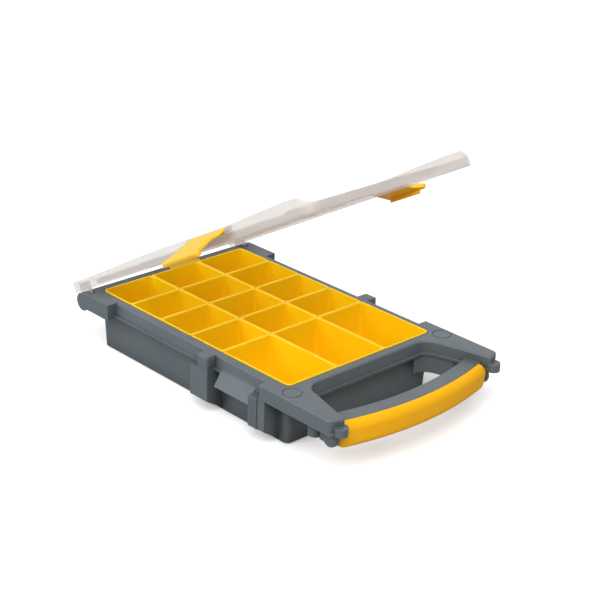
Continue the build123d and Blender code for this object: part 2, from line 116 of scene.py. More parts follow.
def rangeOf(tree, socket, low, high, toLow, toHigh):
    values = {"From Min": low, "From Max": high, "To Min": toLow, "To Max": toHigh}
    return addNode(tree, "ShaderNodeMapRange", values=values, links={"Value": socket}).outputs["Result"]


def layerOf(tree, coords, layer, toLow, toHigh):
    # A layer is a noise's scale, detail and roughness, and the two levels of it that are spread
    # from one value to the other
    scale, detail, roughness, low, high = layer
    return rangeOf(tree, noiseOf(tree, coords, scale, detail, roughness), low, high, toLow, toHigh)


def stretchOf(tree, coords, scale):
    mapping = addNode(tree, "ShaderNodeMapping", values={"Scale": scale}, links={"Vector": coords})
    return mapping.outputs["Vector"]


def mathOf(tree, operation, first, second):
    made = addNode(tree, "ShaderNodeMath", {"operation": operation}, links={0: first})
    if isinstance(second, float):
        made.inputs[1].default_value = second
    else:
        tree.links.new(second, made.inputs[1])
    return made.outputs[0]


def blendOf(tree, factor, first, second):
    # Colour between two, each a socket or a plain colour, which a Mix node takes at inputs 6 and 7
    made = addNode(tree, "ShaderNodeMix", {"data_type": "RGBA"}, links={0: factor})
    for index, colour in ((6, first), (7, second)):
        if isinstance(colour, tuple):
            made.inputs[index].default_value = (*colour, 1)
        else:
            tree.links.new(colour, made.inputs[index])
    return made.outputs[2]


def softEdges(tree, radius, samples):
    bevel = addNode(tree, "ShaderNodeBevel", {"samples": samples}, {"Radius": radius * mm})
    return bevel.outputs["Normal"]


def addRelief(tree, shader, height, normal=None):
    # Bumps whose height is in millimetres, over softened edges where there are any
    links = {"Height": height}
    if normal is not None:
        links["Normal"] = normal
    bump = addNode(tree, "ShaderNodeBump", values={"Strength": 1.0, "Distance": mm}, links=links)
    tree.links.new(bump.outputs["Normal"], shader.inputs["Normal"])


# What the moulded plastics have in common: their layers of noise, where an edge or a hollow
# begins and ends, and how light spreads inside them
moulding = {
    "clouds": (22.0, 3.0, 0.5, 0.3, 0.7),
    "patches": (140.0, 4.0, 0.5, 0.4, 0.62),
    "leastRubAndHighlight": 0.15,
    "speckles": (900.0, 1.0, 0.5, 0.35, 0.7),
    "shines": (55.0, 4.0, 0.6, 0.3, 0.7),
    "grains": (3.0, 0.6, 0.0, 1.0),
    "ripples": (75.0, 1.0, 0.5, 0.0, 1.0),
    "edgeLevels": (0.86, 0.995),
    "hollowLevels": (0.25, 0.9),
    "samples": 6,
    "glowRadius": (1.0, 0.85, 0.2),
    "glowScale": 0.003,
}

# Colours are linear. Grain and ripple are heights, edge is the softness of the edges and hollowReach how
# near another surface has to be for a hollow to be painted darker, all in millimetres. The lighter
# colour that edges take is partly rubbed wear and partly painted highlight; speckles take it too
looks = {
    "caseGrey": {
        "colour": (0.092, 0.112, 0.126), "cloud": (0.102, 0.123, 0.137), "wearAndHighlight": (0.25, 0.28, 0.30),
        "hollow": (0.036, 0.043, 0.047), "hollowReach": 26.0, "rubAndHighlight": 0.5, "speckle": 0.05,
        "gloss": (0.36, 0.5), "grainScale": 1900.0, "grain": 0.035, "ripple": 0.05,
        "edge": 0.7, "shine": 0.5, "glow": 0.0,
    },
    "binYellow": {
        "colour": (1.0, 0.60, 0.002), "cloud": (1.0, 0.63, 0.003), "wearAndHighlight": (1.0, 0.72, 0.08),
        "rubAndHighlight": 0.4, "speckle": 0.02,
        "gloss": (0.26, 0.36), "grainScale": 2600.0, "grain": 0.008, "ripple": 0.014,
        "edge": 0.3, "shine": 0.35, "glow": 0.25,
    },
    "gripYellow": {
        "colour": (0.99, 0.46, 0.001), "cloud": (1.0, 0.48, 0.002), "wearAndHighlight": (1.0, 0.56, 0.04),
        "rubAndHighlight": 0.25, "speckle": 0.05,
        "gloss": (0.45, 0.6), "grainScale": 1250.0, "grain": 0.06, "ripple": 0.03,
        "edge": 0.4, "shine": 0.2, "glow": 0.15,
    },
    "latchYellow": {
        "colour": (0.95, 0.54, 0.02), "cloud": (0.96, 0.58, 0.03), "wearAndHighlight": (0.98, 0.68, 0.14),
        "rubAndHighlight": 0.4, "speckle": 0.03,
        "gloss": (0.32, 0.45), "grainScale": 2600.0, "grain": 0.008, "ripple": 0.03,
        "edge": 0.4, "shine": 0.2, "glow": 0.1,
    },
}


def mouldedPlastic(name, look):
    # Moulded plastic: soft edges, fine grain over a slow ripple, edges lightened as rubbed wear and as
    # painted highlight, uneven gloss
    material, tree, shader, coords = startMaterial(name)
    m = moulding
    soft = softEdges(tree, look["edge"], m["samples"])
    flat = addNode(tree, "ShaderNodeNewGeometry").outputs["True Normal"]
    facing = addNode(tree, "ShaderNodeVectorMath", {"operation": "DOT_PRODUCT"},
                     links={0: soft, 1: flat})
    edge = rangeOf(tree, facing.outputs["Value"], *m["edgeLevels"], 1.0, 0.0)
    # Edge mask in patches: where edges are lightened, partly as rubbed wear and partly as a painted
    # highlight
    patches = layerOf(tree, coords, m["patches"], m["leastRubAndHighlight"], 1.0)
    rubbedAndHighlit = mathOf(tree, "MULTIPLY", mathOf(tree, "MULTIPLY", edge, patches), look["rubAndHighlight"])
    body = blendOf(tree, layerOf(tree, coords, m["clouds"], 0.0, 1.0), look["colour"], look["cloud"])
    body = blendOf(tree, layerOf(tree, coords, m["speckles"], 0.0, look["speckle"]), body, look["wearAndHighlight"])
    if "hollow" in look:
        # Hollows and inside corners are painted darker, as their shadows in the photograph are deep
        shade = addNode(tree, "ShaderNodeAmbientOcclusion", {"samples": m["samples"]},
                        {"Distance": look["hollowReach"] * mm}, {"Normal": flat})
        shutIn = rangeOf(tree, shade.outputs["AO"], *m["hollowLevels"], 1.0, 0.0)
        body = blendOf(tree, shutIn, body, look["hollow"])
    # Painted highlight and rubbed wear laid on the edges over the body colour
    tree.links.new(blendOf(tree, rubbedAndHighlit, body, look["wearAndHighlight"]), shader.inputs["Base Color"])
    tree.links.new(layerOf(tree, coords, m["shines"], *look["gloss"]), shader.inputs["Roughness"])
    grain = layerOf(tree, coords, (look["grainScale"], *m["grains"]), 0.0, look["grain"])
    ripple = layerOf(tree, coords, m["ripples"], 0.0, look["ripple"])
    addRelief(tree, shader, mathOf(tree, "ADD", grain, ripple), soft)
    shader.inputs["Specular IOR Level"].default_value = look["shine"]
    shader.inputs["Subsurface Weight"].default_value = look["glow"]
    shader.inputs["Subsurface Radius"].default_value = m["glowRadius"]
    shader.inputs["Subsurface Scale"].default_value = m["glowScale"]
    return material


# How much each face of the lid holds back: its rails are milky and its flat plate is clearer.
# Colours are linear, edge and the heights in millimetres
films = {"lidMilky": 0.46, "lidClear": 0.06}
filmLook = {
    "colour": (0.66, 0.605, 0.565),
    "cloud": (0.70, 0.66, 0.63),
    "clouds": (14.0, 3.0, 0.5, 0.3, 0.7),
    "stretch": (40.0, 900.0, 900.0),
    "scratches": (1.0, 4.0, 0.65, 0.45, 0.75),
    "scratch": 0.12,
    "shines": (30.0, 3.0, 0.5, 0.35, 0.7),
    "gloss": (0.3, 0.45),
    "grains": (1500.0, 2.0, 0.5, 0.0, 1.0),
    "grain": 0.02,
    "ripples": (60.0, 1.0, 0.5, 0.0, 1.0),
    "ripple": 0.06,
    "edge": 0.5,
    "samples": 4,
}


def milkyPlastic(name, dense):
    # Milky clear plastic: each face holds back part of what lies behind it; fine rubbing scratches
    material, tree, shader, coords = startMaterial(name)
    look = filmLook
    cloudy = layerOf(tree, coords, look["clouds"], 0.0, 1.0)
    tree.links.new(blendOf(tree, cloudy, look["colour"], look["cloud"]), shader.inputs["Base Color"])
    drawn = stretchOf(tree, coords, look["stretch"])
    scratches = layerOf(tree, drawn, look["scratches"], 0.0, look["scratch"])
    shines = layerOf(tree, coords, look["shines"], *look["gloss"])
    tree.links.new(mathOf(tree, "ADD", scratches, shines), shader.inputs["Roughness"])
    soft = softEdges(tree, look["edge"], look["samples"])
    grain = layerOf(tree, coords, look["grains"], 0.0, look["grain"])
    ripple = layerOf(tree, coords, look["ripples"], 0.0, look["ripple"])
    addRelief(tree, shader, mathOf(tree, "ADD", grain, ripple), soft)
    shader.inputs["Alpha"].default_value = dense
    return material


# Wire of the latch pins, with its streaks stretched along the pin
steel = {
    "dark": (0.52, 0.52, 0.53),
    "light": (0.68, 0.68, 0.68),
    "stretch": (60.0, 5000.0, 5000.0),
    "streaks": (1.0, 3.0, 0.5),
    "shines": (0.3, 0.7),
    "gloss": (0.25, 0.42),
    "relief": 0.01,
}


def drawnSteel():
    # Drawn wire: fine lines along the pin, uneven gloss
    material, tree, shader, coords = startMaterial("pinSteel")
    streaks = noiseOf(tree, stretchOf(tree, coords, steel["stretch"]), *steel["streaks"])
    tree.links.new(blendOf(tree, streaks, steel["dark"], steel["light"]), shader.inputs["Base Color"])
    tree.links.new(rangeOf(tree, streaks, *steel["shines"], *steel["gloss"]), shader.inputs["Roughness"])
    addRelief(tree, shader, rangeOf(tree, streaks, 0.0, 1.0, 0.0, steel["relief"]))
    shader.inputs["Metallic"].default_value = 1.0
    return material


materials = {name: mouldedPlastic(name, look) for name, look in looks.items()}
materials.update({name: milkyPlastic(name, dense) for name, dense in films.items()})
materials["pinSteel"] = drawnSteel()

# The CAD nodes that stay in view
finishes = {
    "case": "caseGrey",
    "grip_end_cap_near": "caseGrey",
    "grip_end_cap_far": "caseGrey",
    "hinge_pin_near": "caseGrey",
    "hinge_pin_far": "caseGrey",
    "latch_pin_near": "pinSteel",
    "latch_pin_far": "pinSteel",
}
for node, finish in finishes.items():
    data = nodes[node].data
    if data.materials:
        for place in range(len(data.materials)):
            data.materials[place] = materials[finish]
    else:
        data.materials.append(materials[finish])
print("materials ready:", ", ".join(materials))


def shellOf(grid, pairedEnds=False, closed=False):
    # Rings of points joined by quads. The ends close with a fan to the middle, or, where a ring
    # runs out along one wall and back along the other, with a strip between the two walls
    rings, across = grid.shape[:2]
    i, j = np.meshgrid(np.arange(rings if closed else rings - 1), np.arange(across), indexing="ij")
    beside, nextRing = (j + 1) % across, (i + 1) % rings
    here, there = i * across, nextRing * across
    quads = np.stack([here + j, here + beside, there + beside, there + j], -1)
    faces = quads.reshape(-1, 4).tolist()
    points = grid.reshape(-1, 3)
    if closed:
        return points, faces
    ring, last = np.arange(across), (rings - 1) * across
    if pairedEnds:
        k = np.arange(across // 2 - 1)
        strip = np.stack([k + 1, k, across - 1 - k, across - 2 - k], -1)
        return points, faces + strip.tolist() + (strip[:, ::-1] + last).tolist()
    middle = np.full(across, len(points))
    points = np.vstack([points, grid[0].mean(0), grid[-1].mean(0)])
    faces += np.stack([(ring + 1) % across, ring, middle], -1).tolist()
    faces += np.stack([last + ring, last + (ring + 1) % across, middle + 1], -1).tolist()
    return points, faces


def makePiece(name, shells, finish, body, node=None, sharp=40):
    # Shells in millimetres become one object. The sum of a . (b x c) over a shell's triangles is six
    # times its volume, and a shell where it is negative has its faces turned
    allPoints, allFaces = [], []
    for points, faces in shells:
        triangles = np.array([(f[0], f[k], f[k + 1]) for f in faces for k in (1, 2)[:len(f) - 2]])
        a, b, c = (points[triangles[:, k]] for k in range(3))
        inward = np.einsum("ij,ij->i", a, np.cross(b, c)).sum() < 0
        start = sum(len(p) for p in allPoints)
        allFaces += [[start + v for v in (face[::-1] if inward else face)] for face in faces]
        allPoints.append(points)
    mesh = bpy.data.meshes.new(name)
    mesh.from_pydata((np.vstack(allPoints) * mm).tolist(), [], allFaces)
    mesh.polygons.foreach_set("use_smooth", np.ones(len(mesh.polygons), bool))
    mesh.set_sharp_from_angle(angle=math.radians(sharp))
    mesh.materials.append(materials[finish])
    piece = bpy.data.objects.new(name, mesh)
    scene.collection.objects.link(piece)
    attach(piece, body)
    if node:
        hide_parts(node)


def arcOf(steps, start, end):
    # Cosines and sines of even steps between two angles in degrees
    turn = np.radians(np.linspace(start, end, steps))
    return np.cos(turn), np.sin(turn)


def squareUp(wave, power):
    # Superellipse: the size of a sine or cosine raised to a power below one, its sign kept
    return np.sign(wave) * np.abs(wave) ** power


def boxSection(steps, powers):
    # Circle squared up to a box with soft corners, as far across and up as one
    turn = 2 * np.pi * (np.arange(steps) + 0.5) / steps
    return squareUp(np.cos(turn), powers[0]), squareUp(np.sin(turn), powers[1])


def fourCorners(steps):
    # Angles round the four corners of a box, and the side of its middle each corner is on
    quarter = np.linspace(0, np.pi / 2, steps)
    turn = np.concatenate([quarter + k * np.pi / 2 for k in range(4)])
    return turn, np.repeat([1, -1, -1, 1], steps), np.repeat([1, 1, -1, -1], steps)


# Loose bins, as deep cups, in millimetres; lean is in degrees
cup = {
    "wall": 1.4,
    "lean": 3.0,
    "floor": 1.6,
    "foot": 2.2,  # round edge under the floor
    "cove": 4.2,  # round edge inside, on the floor
    "lipReach": 0.2,
    "lipDepth": 3.0,
    "lipPower": 0.75,
    "clear": (1.0, 0.6),  # what the straight walls leave to the round edge below and above them
    "trayHalf": (139.0, 92.5),
    "trayCorner": 5.0,
    "corner": 1.7,
    "lipInside": 2.4,
    "innerCorner": 6.0,
    "shrink": (0.3, 3.5),  # how much the outer corners tighten with the inset, and up to which inset
    "flats": (2.0, 0.6),  # two rings on the flat of the bottom and of the floor, and their corners
    "flatCorners": (1.5, 0.8),
    "steps": {"foot": 7, "wall": 9, "lip": 9, "cove": 8, "corner": 9},
    "sharp": 50,
}


def binShell(low, high):
    # Rounded rectangle carried down the wall's profile: each ring has its own inset, height and corner
    s, steps = cup, cup["steps"]
    lean = math.tan(math.radians(s["lean"]))
    half, flats = s["wall"] / 2, np.array(s["flats"])
    footX, footZ = arcOf(steps["foot"], 0, 90)
    lipX, lipZ = arcOf(steps["lip"], 180, 0)
    coveX, coveZ = arcOf(steps["cove"], 180, 270)
    footInset = (high.z - low.z) * lean
    coveLevel = low.z + s["floor"] + s["cove"]
    coveInset = s["wall"] + (high.z - coveLevel) * lean
    underLip = high.z - half - s["clear"][1]
    wallLevels = np.linspace(low.z + s["foot"] + s["clear"][0], underLip, steps["wall"])
    innerLevels = np.linspace(underLip, coveLevel + s["clear"][0], steps["wall"])
    flare = s["lipReach"] * np.clip((wallLevels - high.z + s["lipDepth"]) / (s["lipDepth"] - half), 0, 1)
    inset = np.concatenate([
        footInset + s["foot"] + flats,
        footInset + s["foot"] * (1 - footZ),
        (high.z - wallLevels) * lean - flare,
        (half - s["lipReach"]) + half * squareUp(lipX, s["lipPower"]) + s["lipReach"] * (lipX + 1) / 2,
        s["wall"] + (high.z - innerLevels) * lean,
        coveInset + s["cove"] * (1 + coveX),
        coveInset + s["cove"] + flats[::-1],
    ])
    level = np.concatenate([
        [low.z] * 2,
        low.z + s["foot"] * (1 - footX),
        wallLevels,
        high.z - half + half * np.abs(lipZ) ** s["lipPower"],
        innerLevels,
        coveLevel + s["cove"] * coveZ,
        [low.z + s["floor"]] * 2,
    ])
    turn, signX, signY = fourCorners(steps["corner"])
    # The tray's own corners are round, and where bins meet they stand close together
    endX = np.where(signX > 0, high.x, -low.x) > s["trayHalf"][0]
    endY = np.where(signY > 0, high.y, -low.y) > s["trayHalf"][1]
    lipCorner = np.where(endX & endY, s["trayCorner"], s["corner"])
    lipInside = np.maximum(lipCorner - s["wall"], s["lipInside"])
    outside = len(flats) + steps["foot"] + steps["wall"]
    shrink, most = s["shrink"]
    corner = np.concatenate([
        lipCorner - shrink * np.clip(inset[:outside, None], 0, most),
        lipCorner + (lipInside - lipCorner) * np.linspace(0, 1, steps["lip"])[:, None],
        lipInside + (s["innerCorner"] - lipInside) * np.linspace(0, 1, steps["wall"])[:, None],
        s["innerCorner"] - s["cove"] * (1 + coveX[:, None]) + 0 * lipCorner,
        np.array(s["flatCorners"])[:, None] + 0 * lipCorner,
    ])
    halfX = (high.x - low.x) / 2 - inset[:, None] - corner
    halfY = (high.y - low.y) / 2 - inset[:, None] - corner
    x = (high.x + low.x) / 2 + signX * halfX + corner * np.cos(turn)
    y = (high.y + low.y) / 2 + signY * halfY + corner * np.sin(turn)
    return shellOf(np.stack(np.broadcast_arrays(x, y, level[:, None]), -1))


bins = [node for node in nodes if "_bin_" in node]
for node in bins:
    low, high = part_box(node)
    makePiece("cup_" + node, [binShell(low / mm, high / mm)], "binYellow",
              "base", node, cup["sharp"])
print("bins ready:", len(bins))

# Soft cover of the handle, round a bar whose outer face bows on one radius
sleeve = {
    "bowX": -113.5,
    "bowRadius": 332.0,
    "barWidth": 16.5,
    "barTop": 53.0,
    "barBottom": 29.0,
    "proud": 7.5,  # of the bar's outer face
    "shoulder": 88.0,  # angle at which the top's round begins
    "shoulderDrop": 8.5,
    "flank": (43.0, 36.0),
    "bottom": 26.5,
    "bottomRadius": 8.0,
    "flat": (3.0, 1.0),  # what the flat underside leaves to the rounds beside it
    "innerWall": 2.2,
    "innerCorner": 5.0,
    "innerStart": 33.0,
    "innerTop": 46.0,
    "innerLip": (1.6, 1.1),  # where the inner wall's rounded top begins, and its height
    "clearance": 0.15,
    "hollowEnds": (0.1, 0.4),  # how far the hollow stops under the bar's top and the inner wall's
    "span": 97.5,
    "slant": 6.0,  # how much shorter each end is at the bottom than above slantTop
    "slantTop": 41.0,
    "endRound": 5.0,
    "thinRound": 1.0,
    "armTip": (216.0, 96.5),  # an arm's edge in plan runs from armRoot to armTip
    "armRoot": (152.0, 78.0),
    "armRoom": 1.9,  # nearer to that edge than this, and under the arm, the cover stays below roomTop
    "roomTop": 45.5,
    "steps": (14, 5, 10, 6, 9, 4, 7),  # points on each stretch of the section
    "facing": (24, 13, 19),  # points that face each side of the hollow
    "endSteps": 12,
    "stations": 150,
    "sharp": 48,
}


def sleeveShell():
    # A hook-shaped section round the bar, carried along the bow in planes across it. Near each
    # end its outside draws in along a quarter circle, and under an arm it keeps below the arm
    s, n = sleeve, sleeve["steps"]
    bow, gap, end, thin = s["bowRadius"], s["clearance"], s["endRound"], s["thinRound"]
    outside, shelf = bow + s["proud"], bow - s["barWidth"] - s["innerWall"]
    under, within = s["bottomRadius"], s["innerCorner"]
    lipStart, lipHeight = s["innerLip"]
    shoulder, heel = arcOf(n[0], s["shoulder"], 0), arcOf(n[2], 0, -90)
    rise, lip = arcOf(n[4], -90, -180), arcOf(n[6], 180, 90)
    # Stretches of the section: radius, level, the way they face, and how they draw in at the ends
    stretches = [
        (bow + s["proud"] * shoulder[0], s["barTop"] - s["shoulderDrop"] * (1 - shoulder[1]),
         *shoulder, end),
        (np.full(n[1], outside), np.linspace(*s["flank"], n[1]), np.ones(n[1]), np.zeros(n[1]), end),
        (outside + under * (heel[0] - 1), s["bottom"] + under * (1 + heel[1]), *heel,
         np.linspace(end, thin, n[2])),
        (np.linspace(bow - s["flat"][0], shelf + within + s["flat"][1], n[3]),
         np.full(n[3], s["bottom"]), np.zeros(n[3]), -np.ones(n[3]), thin),
        (shelf + within * (1 + rise[0]), s["bottom"] + within * (1 + rise[1]), *rise, thin),
        (np.full(n[5], shelf), np.linspace(s["innerStart"], s["innerTop"] - lipStart, n[5]),
         -np.ones(n[5]), np.zeros(n[5]), thin),
        (shelf + s["innerWall"] / 2 * (1 + lip[0]), s["innerTop"] - lipHeight + lipHeight * lip[1],
         *lip, thin),
    ]
    radius, level, outX, outZ = (np.concatenate([part[k] for part in stretches]) for k in range(4))
    rounding = np.concatenate([np.full(len(part[0]), part[4]) for part in stretches])
    count = len(radius)
    # The hollow, with a point facing each one of the outside
    inside, below = bow - s["barWidth"] - gap, s["barBottom"] - gap
    cornersX = [bow + gap, bow + gap, inside, inside]
    cornersZ = [s["barTop"] - s["hollowEnds"][0], below, below, s["innerTop"] - s["hollowEnds"][1]]
    facing = [np.linspace(k, k + 1, points)[min(k, 1):] for k, points in enumerate(s["facing"])]
    facing = np.concatenate(facing)
    facing = np.interp(np.arange(count), np.linspace(0, count - 1, len(facing)), facing)
    hollowX, hollowZ = (np.interp(facing, np.arange(4), corners) for corners in (cornersX, cornersZ))
    radius, level = np.concatenate([radius, hollowX[::-1]]), np.concatenate([level, hollowZ[::-1]])
    outX, outZ = (np.concatenate([part, np.zeros(count)]) for part in (outX, outZ))
    rounding = np.concatenate([rounding, np.ones(count)])
    ends = end * (1 - np.cos(np.linspace(0, np.pi / 2, s["endSteps"])))
    middle = np.linspace(-s["span"] + end, s["span"] - end, s["stations"])[1:-1]
    station = np.concatenate([-s["span"] + ends, middle, (s["span"] - ends)[::-1]])[:, None]
    over = np.clip(rounding - (s["span"] - np.abs(station)), 0, rounding)
    drawn = rounding - np.sqrt(np.maximum(rounding ** 2 - over ** 2, 0))
    reach, z = radius - drawn * outX, level - drawn * outZ
    cut = s["slant"] * np.clip((s["slantTop"] - z) / (s["slantTop"] - s["bottom"]), 0, 1)
    y = station * (s["span"] - cut) / s["span"]
    x = s["bowX"] + np.sqrt(reach ** 2 - y ** 2)
    along = np.array(s["armTip"]) - np.array(s["armRoot"])
    along = along / np.hypot(*along)
    clear = (x - s["armTip"][0]) * along[1] - (np.abs(y) - s["armTip"][1]) * along[0] - s["armRoom"]
    ceiling = s["roomTop"] + np.clip(clear, 0, 1) * (s["barTop"] - s["roomTop"])
    return shellOf(np.stack([x, y, np.minimum(z, ceiling)], -1), pairedEnds=True)


makePiece("gripSleeve", [sleeveShell()], "gripYellow",
          "base", "grip_cover", sleeve["sharp"])
print("grip ready")

# How the lid stands open in the photograph: its angle, and where its hinge is in x and z
stand = {"angle": 28.94, "hinge": (-148.0, 51.0)}

# Latches, drawn flipped outward as the lid stands open. The pivot is so far along the lid, aside
# and above; the latch's own measures run out from it, down from it and along it
latch = {
    "along": 230.0,
    "above": 20.0,
    "aside": 108.4,
    "flip": 60.0,
    "halfWidth": 28.0,
    "length": 40.8,
    "plate": 2.1,
    "wedge": 3.2,  # how much thicker it is at the tab
    "wedgePower": 1.3,
    "root": 0.8,
    "lean": 4.0,
    "tabRound": 1.6,
    "tabCorner": 2.5,
    "tabPower": 3,
    "tabUsed": 0.98,  # share of the tab's round that is drawn, so its end keeps some thickness
    "notch": 8.5,
    "notchTop": 8.0,
    "notchFoot": 37.0,
    "notchEase": (6.0, 9.0),
    "sideEdge": (0.0, 0.12, 0.4, 0.9),  # rings of the round edge, from the side inward
    "sideDepth": (0.8, 0.75),  # its depth, and the most it takes of the half thickness
    "hookLevel": 36.8,
    "hookThick": 2.3,
    "hookReach": 4.2,
    "hookRoot": 1.0,
    "hookHalf": 22.0,
    "hookPower": 0.45,
    "hookEnds": (0.0, 0.15, 0.5, 1.0),
    "hookSwell": (0.7, 0.85, 0.96, 1.0),
    "barrel": 2.9,
    "bore": 1.38,
    "barrelPowers": (0.3, 0.1),
    "steps": {"drop": 36, "end": 7, "across": 11, "section": 24, "barrel": 28},
    "sharp": 50,
}


def smoothStep(value):
    # Three squares less two cubes, which runs smoothly from 0 to 1
    value = np.clip(value, 0, 1)
    return value * value * (3 - 2 * value)


def latchShells(side):
    # A leaning wedge with a tab at its end, a hook ledge across it and a bored barrel along the
    # pivot, worked out in the latch's own directions: out, down from the pivot, and along the lid
    s, steps = latch, latch["steps"]
    angle, flip = math.radians(stand["angle"]), math.radians(s["flip"])
    along = np.array([math.cos(angle), 0, math.sin(angle)])
    above = np.array([-math.sin(angle), 0, math.cos(angle)])
    aside = np.array([0, side, 0])
    out = aside * math.cos(flip) + above * math.sin(flip)
    down = aside * math.sin(flip) - above * math.cos(flip)
    hinge = np.array([stand["hinge"][0], side * s["aside"], stand["hinge"][1]])
    pivot = hinge + along * s["along"] + above * s["above"]

    def place(o, d, q):
        return pivot + o[..., None] * out + d[..., None] * down + q[..., None] * along

    # Wedge: an inner and an outer face that part on the way down to the tab, whose end is rounded
    tab = np.sin(np.linspace(0, np.pi / 2, steps["end"])[1:])
    drop = np.concatenate([np.linspace(0, s["length"] - s["tabRound"], steps["drop"]),
                           s["length"] - s["tabRound"] * (1 - tab)])
    deep = s["plate"] + s["wedge"] * (drop / s["length"]) ** s["wedgePower"]
    middle = s["root"] + s["lean"] * drop / s["hookLevel"] + deep / 2
    toEnd = np.clip((drop - s["length"] + s["tabRound"]) / s["tabRound"], 0, s["tabUsed"])
    half = deep / 2 * (1 - toEnd ** s["tabPower"]) ** (1 / s["tabPower"])
    toCorner = np.clip((drop - s["length"] + s["tabCorner"]) / s["tabCorner"], 0, 1)
    left = s["halfWidth"] - s["tabCorner"] * (1 - np.sqrt(1 - toCorner ** 2))
    easeIn, easeOut = s["notchEase"]
    biteFrom = smoothStep((drop - s["notchTop"]) / easeIn)
    biteTo = smoothStep((drop - s["notchFoot"] + easeOut) / easeOut)
    right = left - s["notch"] * (biteFrom * (1 - biteTo))
    # Rows across it: the round edge of one side, the faces between, and the round edge of the other
    edge, between = np.array(s["sideEdge"]), np.zeros(steps["across"])
    sideRound = edge[-1]
    squeeze = 1 - np.sqrt(np.clip(1 - (1 - edge / sideRound) ** 2, 0, 1))
    squeeze = np.concatenate([squeeze, between, squeeze[::-1]])[:, None]
    shift = np.concatenate([edge - sideRound, between, sideRound - edge[::-1]])[:, None]
    share = np.linspace(0, 1, steps["across"] + 2)[1:-1]
    share = np.concatenate([0 * edge, share, 0 * edge + 1])[:, None]
    body = half - np.minimum(s["sideDepth"][0], s["sideDepth"][1] * half) * squeeze
    q = (-left + sideRound) * (1 - share) + (right - sideRound) * share + shift
    d = np.broadcast_to(drop, q.shape)
    o = np.concatenate([middle + body, (middle - body)[:, ::-1]], 1)
    plate = place(o, np.concatenate([d, d[:, ::-1]], 1), np.concatenate([q, q[:, ::-1]], 1))

    # Hook ledge: a rounded bar along the inside of the plate
    turn = np.linspace(0, 2 * np.pi, steps["section"], endpoint=False)
    reach = (s["hookReach"] + s["hookRoot"]) / 2
    ledge = s["root"] + s["lean"] - s["hookReach"] + reach
    ends = np.array(s["hookEnds"])
    stations = np.concatenate([-s["hookHalf"] + ends, (s["hookHalf"] - ends)[::-1]])[:, None]
    swell = np.concatenate([s["hookSwell"], s["hookSwell"][::-1]])[:, None]
    hookOut = ledge + reach * squareUp(np.cos(turn), s["hookPower"]) * swell
    hookDown = s["hookLevel"] + s["hookThick"] / 2 * (1 + squareUp(np.sin(turn), s["hookPower"]) * swell)

    # Barrel: a rounded rectangle turned about the pin
    wall = (s["barrel"] - s["bore"]) / 2
    about = 2 * np.pi * np.arange(steps["barrel"]) / steps["barrel"]
    radius = s["bore"] + wall * (1 + squareUp(np.cos(turn), s["barrelPowers"][0]))
    length = s["halfWidth"] * squareUp(np.sin(turn), s["barrelPowers"][1])
    barrel = place(radius * np.cos(about)[:, None], radius * np.sin(about)[:, None], length)
    hook = place(hookOut, hookDown, stations)
    return [shellOf(plate, pairedEnds=True), shellOf(hook), shellOf(barrel, closed=True)]


for name, side in (("near", -1), ("far", 1)):
    makePiece("latchPlate_" + name, latchShells(side), "latchYellow",
              "latch_" + name, "latch_" + name, latch["sharp"])
print("latches ready")

# Lid, as it stands open: u runs along it from the hinges, v across it, and w up from it
lid = {
    "tail": 18.5,  # behind the hinge
    "reach": 370.5,  # in front of it
    "half": 105.0,
    "corner": 12.0,
    "wall": 2.2,
    "wallPowers": (0.3, 0.12),
    "foot": 10.4,  # level of the wall's lower edge
    "railTop": [(-19, 21.5), (48, 22.5), (84, 23.6), (120, 24.5), (181, 24.2), (247, 23.7), (292, 25.2),
                (324, 26.8), (350, 26.9), (371, 26.0)],  # u and height
    "railSmooth": 9,
    "frontTop": 19.0,
    "frontSlope": 0.553,
    "sideBreak": (340.0, 343.0),
    "plate": (17.0, 19.0),
    "plateTail": 0.3,
    "squareBelow": 100.0,  # the plate's corners are square behind this u, on a box that ends at backEnd
    "backEnd": -200.0,
    "hole": (300.0, 351.0, 80.0, 16.0),  # from u, to u, half width, corner
    "rim": (14.6, 19.3),
    "rimWall": 1.8,
    "rimSunk": 0.1,
    "rimPowers": (0.3, 0.2),
    "rows": (8.5, 55.0, 101.5, 148.0, 194.5, 287.5),
    "columns": (-93.0, -31.0, 31.0, 93.0),
    "dividerPast": 0.7,
    "dividerWidths": (1.4, 1.4, 1.08, 1.0, 0.6),
    "dividerDrops": (-0.8, 0.0, 3.9, 4.3, 4.5),
    "dividerShares": (0.0, 0.003, 0.008, 0.5, 0.992, 0.997, 1.0),
    "dividerSwell": (0.6, 0.88, 1.0, 1.0, 1.0, 0.88, 0.6),
    "ear": 6.2,
    "earNeck": 8.0,
    "earInside": 102.0,
    "earSunk": 0.5,
    "pinBore": 2.06,
    "lugs": (200.1, 259.9),
    "lugHalf": 1.5,
    "lugSunk": 1.0,
    "lugRadius": 3.1,
    "lugBore": 1.3,
    "steps": {"side": (60, 8), "corner": 13, "front": 30, "wall": 24, "rimCorner": 9, "rim": 16},
    "sharp": 35,
}

# Rays that find the outlines of the flat slabs
rays = {"count": 180, "farthest": 600.0, "halvings": 40}


def onLid(u, v, w):
    # The lid's own directions, turned up by its angle about the hinge
    angle, (hingeX, hingeZ) = math.radians(stand["angle"]), stand["hinge"]
    x = hingeX + u * math.cos(angle) - w * math.sin(angle)
    z = hingeZ + u * math.sin(angle) + w * math.cos(angle)
    return np.stack(np.broadcast_arrays(x, v, z), -1)


def edgeFrom(inside, centre, angles):
    # How far a ray runs from the centre before it leaves the outline, found by halving
    near, beyond = np.zeros(len(angles)), np.full(len(angles), rays["farthest"])
    for _ in range(rays["halvings"]):
        middle = (near + beyond) / 2
        within = inside(centre[0] + middle * np.cos(angles), centre[1] + middle * np.sin(angles))
        near, beyond = np.where(within, middle, near), np.where(within, beyond, middle)
    return near


